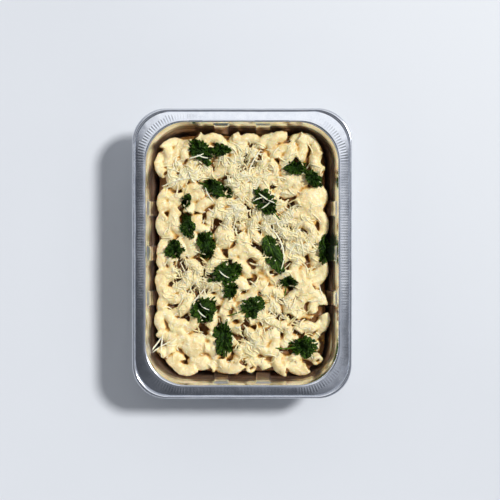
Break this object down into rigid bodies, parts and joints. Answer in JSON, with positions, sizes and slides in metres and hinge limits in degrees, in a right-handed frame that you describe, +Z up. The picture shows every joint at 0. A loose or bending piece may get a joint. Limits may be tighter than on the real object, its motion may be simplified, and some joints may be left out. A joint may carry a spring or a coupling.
{
  "type": "foil tray meal",
  "caption": "Oblong foil pan with a rolled rim, filled with bent macaroni in cheese sauce, grated cheese and pieces of kale.",
  "frame": {"origin": "centre of the pan's flat base, on the surface that it stands on", "axes": "+X across the pan, to the right in the picture; +Y along the pan, to the top of the picture; +Z up, out of the pan's mouth"},
  "size_m": [0.171, 0.2256, 0.045],
  "materials": {
    "foil": "bright pressed foil with a knurled rim",
    "pasta": "soft cooked pasta under a glossy cheese sauce",
    "kale": "wet, dark green, wilted leaf"
  },
  "bodies": {
    "root": {"foil_tray": "foil", "macaroni": "pasta", "kale_01": "kale", "kale_02": "kale", "kale_03": "kale", "kale_04": "kale", "kale_05": "kale", "kale_06": "kale", "kale_07": "kale", "kale_08": "kale", "kale_09": "kale", "kale_10": "kale", "kale_11": "kale", "kale_12": "kale", "kale_13": "kale", "kale_14": "kale", "kale_15": "kale", "kale_16": "kale", "kale_17": "kale", "kale_18": "kale", "kale_19": "kale"}
  },
  "joints": []
}
